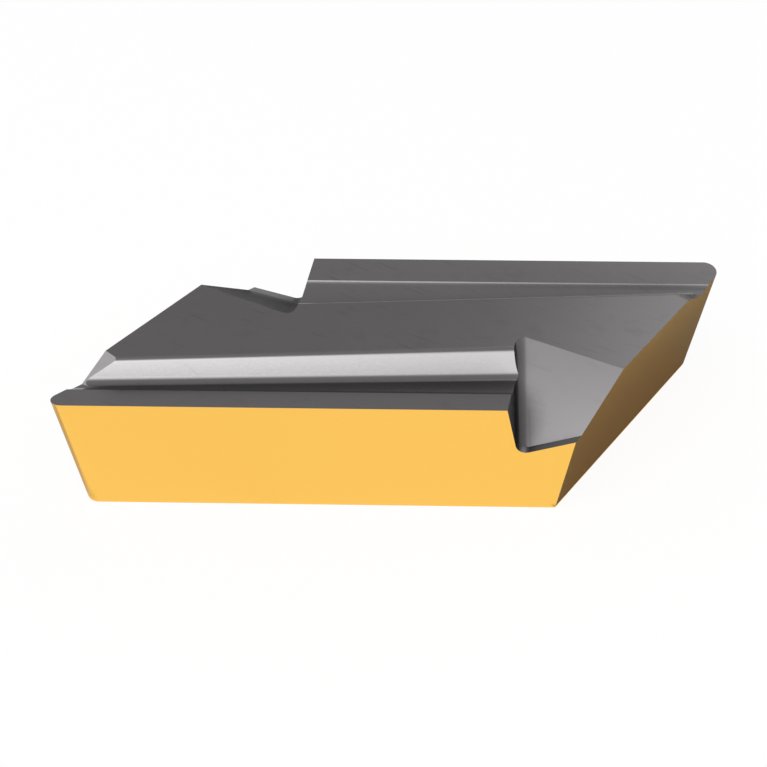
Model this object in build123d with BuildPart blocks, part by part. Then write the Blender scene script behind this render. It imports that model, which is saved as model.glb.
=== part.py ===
from build123d import *
import math
import os

# Turning insert: a rhomboid cutting insert, pressed and sintered from tungsten carbide in one piece.
# The seat lies on z = 0 and the Z axis is the two-fold axis of the insert: each feature of the near cutting
# edge comes back on the far one after half a turn. The two cutting edges run along X, on the long sides.

# Body
inscribed_circle = 9.525    # between the two long sides
edge_height = 4.7625        # from the seat to the cutting edges
long_side = 19.67           # along one cutting edge, between the sharp corners
corner_angle = 55.0         # at the two cutting noses
nose_radius = 0.5
end_clearance = 7.0         # lean of the short flanks, in towards the seat
plateau_rise = 0.192        # from the cutting edges up to the flat top

# Chip groove behind each cutting edge
land_width = 1.21
land_fall = 11.5            # the rake land falls away from the edge at this angle
step_drop = 0.114           # short step from the land to the groove floor
step_fall = 40.0
step_radius = 0.5           # between the step and the groove floor
floor_fall = 12.0
floor_width = 0.379         # from the step to the foot of the back wall, at the sharp corner
groove_radius = 0.45        # between the groove floor and the back wall
wall_slope = 47.0           # back wall, up to the flat top
wall_swing = 3.5            # the wall swings away from the cutting edge, so the groove opens out
plateau_edge_radius = 0.32

# Ramp from the flat top down to each nose
ramp_slope = 24.5
ramp_heading = 47.5         # between the ramp's way down and the long side
ramp_setback = 3.58         # from the sharp corner back to the top of the ramp

# Recess in each blunt corner, where the cutting edge ends
edge_length = 16.89         # from the sharp corner to the recess
recess_depth = 2.04         # from the cutting edge, square to the recess floor
recess_rise = 30.0          # climb of the recess towards the middle of the insert
recess_roll = 15.0          # roll of the recess about that climb
recess_radius = 0.4
strip_width = 0.305         # along the flank the recess floor levels out to a narrow strip
runout_share = 0.5          # share of the recess rounding that the groove runs into before it ends

half_width = inscribed_circle / 2
plateau_height = edge_height + plateau_rise
corner_turn = math.radians(corner_angle)
sharp_corner = long_side / 2 + half_width / math.tan(corner_turn)


def falling_plane(point, heading, fall):
    """Plane through a point that falls towards a heading, with its normal up and out of the metal."""
    turn, tilt = math.radians(heading), math.radians(fall)
    normal = (math.cos(turn) * math.sin(tilt), math.sin(turn) * math.sin(tilt), math.cos(tilt))
    return Plane(origin=point, z_dir=normal)


# Air above the land, the step and the groove floor of the near cutting edge
step_width = step_drop / math.tan(math.radians(step_fall))
land_slope = math.tan(math.radians(land_fall))
floor_slope = math.tan(math.radians(floor_fall))
land_end_height = edge_height - land_width * land_slope
floor_start = land_width + step_width - half_width
floor_start_height = land_end_height - step_drop

with BuildPart() as edge_air:
    with BuildSketch(Plane.YZ):
        with BuildLine():
            Polyline(
                (-land_width - half_width, edge_height + land_width * land_slope),
                (land_width - half_width, land_end_height),
                (floor_start, floor_start_height),
                (half_width, floor_start_height - (half_width - floor_start) * floor_slope),
                (half_width, edge_height + half_width),
                (-land_width - half_width, edge_height + half_width),
                close=True,
            )
        make_face()
    extrude(amount=sharp_corner, both=True)

# Directions of the near recess: a square channel that climbs inwards, rolled about its own way
climb, roll = math.radians(recess_rise), math.radians(recess_roll)
recess_way = Vector(0, math.cos(climb), math.sin(climb))
square_up = Vector(0, -math.sin(climb), math.cos(climb))
side_normal = Vector(math.cos(roll), 0, 0) + square_up * math.sin(roll)
floor_normal = Vector(-math.sin(roll), 0, 0) + square_up * math.cos(roll)
recess_start = Vector(edge_length - sharp_corner, -half_width, edge_height)
recess_corner = recess_start - floor_normal * recess_depth

# The groove runs out in the rounding at the foot of the recess
wall_foot = (-sharp_corner, floor_start + floor_width, floor_start_height - floor_width * floor_slope)
wall_plane = falling_plane(wall_foot, wall_swing - 90, wall_slope)
groove_end = Plane(origin=recess_start + side_normal * (recess_radius * runout_share), z_dir=side_normal)

with BuildPart() as groove_space:
    add(edge_air.part)
    split(bisect_by=wall_plane, keep=Keep.TOP)
    back_wall = faces().sort_by(lambda f: f.normal_at().dot(wall_plane.z_dir))[0]
    fillet(back_wall.edges().sort_by(Axis.Z)[0], radius=groove_radius)
    split(bisect_by=groove_end, keep=Keep.BOTTOM)

ramp_turn = math.radians(ramp_heading)
ramp_top = (
    ramp_setback * math.cos(ramp_turn) - sharp_corner,
    ramp_setback * math.sin(ramp_turn) - half_width,
    plateau_height,
)

with BuildPart() as ramp_space:
    add(edge_air.part)
    split(bisect_by=falling_plane(ramp_top, ramp_heading - 180, ramp_slope), keep=Keep.TOP)

strip_end = recess_corner + recess_way * ((strip_width - half_width - recess_corner.Y) / recess_way.Y)

with BuildPart() as recess_space:
    with BuildSketch(Plane(origin=recess_corner, x_dir=side_normal, z_dir=-recess_way)):
        Rectangle(long_side, long_side, align=(Align.MIN, Align.MIN))
    extrude(amount=long_side, both=True)
    split(bisect_by=Plane(origin=strip_end, z_dir=(floor_normal.X, 0, floor_normal.Z)), keep=Keep.TOP)
    side_face = faces().sort_by(lambda f: f.normal_at().dot(side_normal))[0]
    fillet(side_face.edges().sort_by_distance(strip_end)[0:2], radius=recess_radius)

# The blank is drawn on the near flank and runs back along the short sides
lean = math.tan(math.radians(end_clearance)) / math.sin(corner_turn)
half_seat = long_side / 2 - edge_height * lean
half_top = long_side / 2 + plateau_rise * lean
near_flank = Plane(origin=(long_side / 2 - sharp_corner, -half_width, 0), x_dir=(1, 0, 0), z_dir=(0, -1, 0))

with BuildPart() as turning_insert:
    with BuildSketch(near_flank):
        with BuildLine():
            Polyline(
                (-half_seat, 0),
                (half_seat, 0),
                (half_top, plateau_height),
                (-half_top, plateau_height),
                close=True,
            )
        make_face()
    short_side = Vector(math.cos(corner_turn), math.sin(corner_turn), 0)
    extrude(amount=inscribed_circle / short_side.Y, dir=short_side)
    corners = edges().filter_by(lambda e: e.bounding_box().size.Z > edge_height).sort_by(Axis.X)
    fillet([corners[0], corners[-1]], radius=nose_radius)
    with PolarLocations(0, 2):
        add(groove_space.part, mode=Mode.SUBTRACT)
    plateau = faces().filter_by(Axis.Z).sort_by(Axis.Z)[-1]
    wall_tops = plateau.edges().filter_by(Axis(wall_foot, Axis.Z.direction.cross(wall_plane.z_dir)))
    fillet(wall_tops, radius=plateau_edge_radius)
    with PolarLocations(0, 2):
        add(ramp_space.part, mode=Mode.SUBTRACT)
    step_feet = edges().filter_by(Axis.X).group_by(Axis.Z)[1]
    fillet(step_feet, radius=step_radius)
    with PolarLocations(0, 2):
        add(recess_space.part, mode=Mode.SUBTRACT)

turning_insert.part.label = "turning_insert"

os.makedirs("parts", exist_ok=True)
export_step(turning_insert.part, "parts/turning_insert.step")
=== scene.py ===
import math

import bpy
import numpy as np
from mathutils import Matrix, Vector


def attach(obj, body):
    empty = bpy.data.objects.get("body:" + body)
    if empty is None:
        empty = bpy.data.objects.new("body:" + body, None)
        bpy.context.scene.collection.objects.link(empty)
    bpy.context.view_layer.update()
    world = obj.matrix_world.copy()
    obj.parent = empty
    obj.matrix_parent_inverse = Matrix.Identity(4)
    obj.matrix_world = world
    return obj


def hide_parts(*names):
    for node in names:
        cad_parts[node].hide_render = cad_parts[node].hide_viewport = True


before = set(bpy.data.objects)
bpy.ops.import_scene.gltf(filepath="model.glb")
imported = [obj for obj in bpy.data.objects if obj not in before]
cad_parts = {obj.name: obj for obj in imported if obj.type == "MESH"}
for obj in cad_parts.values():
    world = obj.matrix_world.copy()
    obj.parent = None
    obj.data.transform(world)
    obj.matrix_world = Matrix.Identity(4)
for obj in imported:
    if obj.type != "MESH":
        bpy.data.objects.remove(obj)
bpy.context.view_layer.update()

# The insert: one block of cemented carbide, pressed, sintered and ground on its flanks, then coated.
# The gold of the flanks and the seat is titanium nitride. On the top the coating is polished down to
# the dark aluminium oxide under it, which is smooth and lets the chips slide.

MM = 0.001


def linear(code):
    """Colour of an sRGB hex code such as #808080, in linear light, with alpha 1."""
    share = np.array([int(code[i:i + 2], 16) for i in (1, 3, 5)]) / 255
    light = np.where(share <= 0.04045, share / 12.92, ((share + 0.055) / 1.055) ** 2.4)
    return (*light.tolist(), 1.0)


def add_node(tree, kind, sockets=None, **settings):
    """New node of a kind, with its settings. Each socket is linked to an output or set to a value."""
    node = tree.nodes.new("ShaderNode" + kind)
    for name, value in settings.items():
        setattr(node, name, value)
    for name, value in (sockets or {}).items():
        if isinstance(value, bpy.types.NodeSocket):
            tree.links.new(value, node.inputs[name])
        else:
            node.inputs[name].default_value = value
    return node


def add_material(name):
    """New material, with its node tree emptied."""
    material = bpy.data.materials.new(name)
    material.use_nodes = True
    material.node_tree.nodes.clear()
    return material, material.node_tree


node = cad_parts["turning_insert"]
insert = bpy.data.objects.new("coated_insert", node.data.copy())
bpy.context.scene.collection.objects.link(insert)

# Titanium nitride, laid down from vapour on the ground flanks: satin gold, very even, with a fine grain
gold, tree = add_material("titanium_nitride_vapour_coated_satin")
cloud_size = 3 * MM
grain_size = 0.04 * MM      # the real grain is finer and would not show
grain_height = 0.001 * MM
place = add_node(tree, "TexCoord").outputs["Object"]
clouds = add_node(tree, "TexNoise", {"Vector": place, "Scale": 1 / cloud_size, "Detail": 3.0})
tone = add_node(tree, "MixRGB", {
    "Fac": clouds.outputs["Fac"], "Color1": linear("#FFC65D"), "Color2": linear("#FFC961")})
shine = add_node(tree, "MapRange", {"Value": clouds.outputs["Fac"], "To Min": 0.22, "To Max": 0.26})
grain = add_node(tree, "TexNoise", {"Vector": place, "Scale": 1 / grain_size, "Detail": 2.0})
bump = add_node(tree, "Bump", {
    "Height": grain.outputs["Fac"], "Strength": 0.05, "Distance": grain_height})
shader = add_node(tree, "BsdfPrincipled", {
    "Base Color": tone.outputs["Color"], "Metallic": 1.0, "Roughness": shine.outputs["Result"],
    "Normal": bump.outputs["Normal"]})
add_node(tree, "OutputMaterial", {"Surface": shader.outputs["BSDF"]})

# Aluminium oxide, polished with fine grit: dark, neutral and smooth, with faint smears and straight
# scratches.
oxide, tree = add_material("aluminium_oxide_coating_grit_polished")
cloud_size = 2.5 * MM
smear_size = 0.9 * MM
place = add_node(tree, "TexCoord").outputs["Object"]
clouds = add_node(tree, "TexNoise", {"Vector": place, "Scale": 1 / cloud_size, "Detail": 3.0})
tone = add_node(tree, "MixRGB", {
    "Fac": clouds.outputs["Fac"], "Color1": linear("#8A898A"), "Color2": linear("#8E8C8D")})
smear = add_node(tree, "TexNoise", {
    "Vector": place, "Scale": 1 / smear_size, "Detail": 5.0, "Roughness": 0.6})
smear = add_node(tree, "MapRange", {
    "Value": smear.outputs["Fac"], "From Min": 0.56, "From Max": 0.8})

# Scratches are hundredths of a millimetre wide. They are drawn at 0.04 mm, a third of their spacing
# and as wide as one pixel of the picture, to be seen
scratch_length = 1.6 * MM
scratch_spacing = 0.12 * MM
scratch_turn = math.radians(28)
turned = add_node(tree, "Mapping", {"Vector": place, "Rotation": (0, 0, scratch_turn)})
drawn_out = add_node(tree, "VectorMath", {
    0: turned.outputs["Vector"], 1: (1 / scratch_length, 1 / scratch_spacing, 1 / scratch_length)},
    operation="MULTIPLY")
scratch = add_node(tree, "TexNoise", {
    "Vector": drawn_out.outputs["Vector"], "Scale": 1.0, "Detail": 1.0})
scratch = add_node(tree, "MapRange", {
    "Value": scratch.outputs["Fac"], "From Min": 0.66, "From Max": 0.72})

# Handling marks the faces that lie open, and hardly the walls
facing = add_node(tree, "SeparateXYZ", {"Vector": add_node(tree, "NewGeometry").outputs["Normal"]})
open_face = add_node(tree, "MapRange", {
    "Value": facing.outputs["Z"], "From Min": 0.8, "From Max": 0.97, "To Min": 0.08, "To Max": 0.3})
mark = add_node(tree, "Math", {
    0: smear.outputs["Result"], 1: scratch.outputs["Result"]}, operation="MAXIMUM")
faint = add_node(tree, "Math", {
    0: mark.outputs["Value"], 1: open_face.outputs["Result"]}, operation="MULTIPLY")
scuffed = add_node(tree, "MixRGB", {
    "Fac": faint.outputs["Value"], "Color1": tone.outputs["Color"], "Color2": linear("#726F71")})

# Painted shade: the hollows are drawn darker in the coat's colour, where shade falls, by how much of the
# space above them is open. From nine tenths open, the coat has its own colour
shade_reach = 5 * MM
openness_above = add_node(tree, "AmbientOcclusion", {"Distance": shade_reach}, samples=8, only_local=True)
# Painted shade, darkest where least of the space above is open
painted_shade = add_node(tree, "MapRange", {
    "Value": openness_above.outputs["AO"], "From Min": 0.5, "From Max": 0.9})
# The coat's colour with the painted shade of the hollows multiplied in
coat_with_painted_shade = add_node(tree, "MixRGB", {
    "Fac": 1.0, "Color1": scuffed.outputs["Color"], "Color2": painted_shade.outputs["Result"]},
    blend_type="MULTIPLY")

grain_height = 0.002 * MM
shine = add_node(tree, "MapRange", {"Value": clouds.outputs["Fac"], "To Min": 0.20, "To Max": 0.24})
grain = add_node(tree, "TexNoise", {"Vector": place, "Scale": 1 / grain_size, "Detail": 2.0})
bump = add_node(tree, "Bump", {
    "Height": grain.outputs["Fac"], "Strength": 0.05, "Distance": grain_height})
shader = add_node(tree, "BsdfPrincipled", {
    "Base Color": coat_with_painted_shade.outputs["Color"], "Metallic": 1.0, "Roughness": shine.outputs["Result"],
    "Normal": bump.outputs["Normal"]})
add_node(tree, "OutputMaterial", {"Surface": shader.outputs["BSDF"]})

# The coats part at the cutting edges: flanks and seat face sideways or down, all of the top faces up
insert.data.materials.clear()
insert.data.materials.append(gold)
insert.data.materials.append(oxide)
least_rise = 0.1            # in the normal of a face that belongs to the top
normals = np.empty(len(insert.data.polygons) * 3, np.float32)
insert.data.polygons.foreach_get("normal", normals)
on_top = normals.reshape(-1, 3)[:, 2] > least_rise
insert.data.polygons.foreach_set("material_index", on_top.astype(np.int32))

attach(insert, "root")
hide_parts("turning_insert")

# The table: white laminate, matt, so it shows as a plain white ground that keeps the insert's soft
# shadow. Metal mirrors it as full white, and the camera sees most of that white.
half_table = 2.0
camera_share = 0.9
table_corners = np.array([(-1, -1, 0), (1, -1, 0), (1, 1, 0), (-1, 1, 0)]) * half_table
mesh = bpy.data.meshes.new("white_table")
mesh.from_pydata(table_corners.tolist(), [], [(0, 1, 2, 3)])
table = bpy.data.objects.new("white_table", mesh)
bpy.context.scene.collection.objects.link(table)
white, tree = add_material("matt_white_laminate")
matt = add_node(tree, "BsdfDiffuse", {"Color": linear("#FBFBFB")})
glow = add_node(tree, "Emission", {"Color": linear("#FFFFFF"), "Strength": 1.0})
ray = add_node(tree, "LightPath")
mirrored = add_node(tree, "Math", {
    0: ray.outputs["Is Glossy Ray"], 1: ray.outputs["Is Transmission Ray"]}, operation="MAXIMUM")
seen = add_node(tree, "Math", {0: ray.outputs["Is Camera Ray"], 1: camera_share}, operation="MULTIPLY")
lift = add_node(tree, "Math", {
    0: mirrored.outputs["Value"], 1: seen.outputs["Value"]}, operation="MAXIMUM")
shader = add_node(tree, "MixShader", {
    "Fac": lift.outputs["Value"], 1: matt.outputs["BSDF"], 2: glow.outputs["Emission"]})
add_node(tree, "OutputMaterial", {"Surface": shader.outputs["Shader"]})
mesh.materials.append(white)

# The room: mid grey, a little brighter overhead and towards the horizon. The camera sees it as white.
# Its levels, like those of the soft boxes below, were fitted to the faces in the photograph.
world = bpy.data.worlds.new("grey_room")
bpy.context.scene.world = world
world.use_nodes = True
tree = world.node_tree
tree.nodes.clear()
way = add_node(tree, "TexCoord").outputs["Generated"]
rise = add_node(tree, "SeparateXYZ", {"Vector": way})
overhead = add_node(tree, "MapRange", {
    "Value": rise.outputs["Z"], "From Min": 0.54, "From Max": 0.99, "To Min": 0.38, "To Max": 0.52},
    interpolation_type="SMOOTHSTEP")
horizon = add_node(tree, "MapRange", {
    "Value": rise.outputs["Z"], "From Min": 0.0, "From Max": 0.3, "To Min": 0.32, "To Max": 0.0},
    interpolation_type="SMOOTHSTEP")
level = add_node(tree, "Math", {
    0: overhead.outputs["Result"], 1: horizon.outputs["Result"]}, operation="ADD")
seen = add_node(tree, "LightPath").outputs["Is Camera Ray"]
level = add_node(tree, "Math", {0: level.outputs["Value"], 1: seen}, operation="MAXIMUM")
room = add_node(tree, "Background", {
    "Color": linear("#FFFDFE"), "Strength": level.outputs["Value"]})
add_node(tree, "OutputWorld", {"Surface": room.outputs["Background"]})

# The soft boxes: a wide one behind the camera, for the near groove wall and recess floor that face it,
# one on the left, for the ramp of the left nose, and a dim one at the back on the right, for the glare
# on that end of the top.
lamp_distance = 0.5


def soft_box(name, heading, height, width, tall, brightness, fade):
    """Flat lamp that faces the insert. Heading turns from +Y to +X and height is above the table,
    in degrees. Width and tall are the angles that it fills, and brightness is that of its face's
    middle, where 1 is white. Fade is the share of the way from the rim to the middle over which it
    brightens, in a smooth step."""
    turn, rise = math.radians(heading), math.radians(height)
    way = Vector((math.sin(turn) * math.cos(rise), math.cos(turn) * math.cos(rise), math.sin(rise)))
    data = bpy.data.lights.new(name, "AREA")
    data.shape = "RECTANGLE"
    data.size = 2 * lamp_distance * math.tan(math.radians(width / 2))
    data.size_y = 2 * lamp_distance * math.tan(math.radians(tall / 2))
    data.energy = brightness * data.size * data.size_y * math.pi
    data.use_nodes = True
    tree = data.node_tree
    tree.nodes.clear()
    spot = add_node(tree, "NewGeometry").outputs["Parametric"]
    spot = add_node(tree, "VectorMath", {
        0: spot, 1: (2, 2, 2), 2: (-1, -1, -1)}, operation="MULTIPLY_ADD")
    spot = add_node(tree, "VectorMath", {0: spot.outputs["Vector"]}, operation="ABSOLUTE")
    spot = add_node(tree, "SeparateXYZ", {0: spot.outputs["Vector"]})
    across, along = [add_node(tree, "MapRange", {
        "Value": spot.outputs[axis], "From Min": 1.0, "From Max": 1.0 - fade},
        interpolation_type="SMOOTHSTEP").outputs["Result"] for axis in "XY"]
    share = add_node(tree, "Math", {0: across, 1: along}, operation="MULTIPLY")
    glow = add_node(tree, "Emission", {"Strength": share.outputs["Value"]})
    add_node(tree, "OutputLight", {"Surface": glow.outputs["Emission"]})
    lamp = bpy.data.objects.new(name, data)
    lamp.location = way * lamp_distance
    lamp.rotation_mode = "QUATERNION"
    lamp.rotation_quaternion = way.to_track_quat("Z", "Y")
    lamp.visible_camera = False
    bpy.context.scene.collection.objects.link(lamp)


soft_box("front_soft_box", heading=-157, height=51, width=110, tall=64, brightness=3.3, fade=1.0)
soft_box("left_soft_box", heading=-66, height=47, width=30, tall=43, brightness=1.2, fade=0.8)
soft_box("right_soft_box", heading=43, height=34, width=59, tall=50, brightness=0.57, fade=0.33)

# Painted reflections: flat matt sheets on the table that only the metal's mirror image shows. The
# camera, diffuse light and shadows pass through them, and they show as soft darker patches in the metal.
# The right grey one stands in for the insert's shade on the table beside the right short flank, which
# that flank mirrors. The short flanks and the left nose mirror the grey ones, the far recess the
# charcoal one.
card_height = 0.05 * MM
papers = []
for shade, code in (("grey", "#777777"), ("charcoal", "#333333")):
    paper, tree = add_material(shade + "_matt_paper")
    matt = add_node(tree, "BsdfDiffuse", {"Color": linear(code)})
    clear = add_node(tree, "BsdfTransparent")
    cover = add_node(tree, "Attribute", attribute_name="cover")
    shader = add_node(tree, "MixShader", {
        "Fac": cover.outputs["Fac"], 1: clear.outputs["BSDF"], 2: matt.outputs["BSDF"]})
    add_node(tree, "OutputMaterial", {"Surface": shader.outputs["Shader"]})
    papers.append(paper)
grey, charcoal = papers


def card(name, paper, cover, rim, corners):
    """Flat card on the table, with its corners in millimetres. Its cover, the share of it that isn't
    clear, fades to nothing over a rim of some millimetres around these corners."""
    inner = np.array(corners, float)
    outward = inner - inner.mean(axis=0)
    outer = inner + rim * outward / np.linalg.norm(outward, axis=1, keepdims=True)
    count = len(inner)
    points = np.column_stack([np.vstack([inner, outer]) * MM, np.full(2 * count, card_height)])
    here = np.arange(count)
    after = (here + 1) % count
    ring = np.column_stack([here, after, after + count, here + count])
    mesh = bpy.data.meshes.new(name)
    mesh.from_pydata(points.tolist(), [], [here.tolist(), *ring.tolist()])
    covers = mesh.attributes.new("cover", "FLOAT", "POINT")
    covers.data.foreach_set("value", [cover] * count + [0.0] * count)
    mesh.materials.append(paper)
    flat = bpy.data.objects.new(name, mesh)
    bpy.context.scene.collection.objects.link(flat)
    # Seen only in reflections: a painted reflection
    flat.visible_camera = flat.visible_diffuse = flat.visible_shadow = False


card("right_grey_card_painted_shade_reflection", grey, cover=1.0, rim=0.3, corners=[
    (5.8, -4.7), (10, -4.7), (22, 12), (17.5, 12)])
card("left_grey_card_painted_reflection", grey, cover=0.55, rim=1.0, corners=[
    (-18, -6.1), (-13.4, -4.5), (-12.3, -4.4), (-9, 1), (-16, 1)])
card("back_charcoal_card_painted_reflection", charcoal, cover=1.0, rim=3.0, corners=[
    (-11, 9), (-3, 9), (-2, 21), (-12, 21)])

# The camera stands and looks as the photograph's did: from above the near long flank
camera_place = Vector((0.0689, -40.8966, 35.4936)) * MM
camera_aim = Vector((-0.7715, -0.5447, 2.5)) * MM
camera_roll = math.radians(-0.099)
camera_data = bpy.data.cameras.new("camera")
camera_data.sensor_width = 36.0
camera_data.lens = 62.583
camera_data.clip_start = 0.005
camera_data.clip_end = 10.0
camera = bpy.data.objects.new("camera", camera_data)
camera.rotation_mode = "QUATERNION"
camera.location = camera_place
look = (camera_aim - camera_place).to_track_quat("-Z", "Y")
camera.rotation_quaternion = look @ Matrix.Rotation(camera_roll, 3, "Z").to_quaternion()
bpy.context.scene.collection.objects.link(camera)
bpy.context.scene.camera = camera
bpy.context.scene.view_settings.view_transform = "Standard"
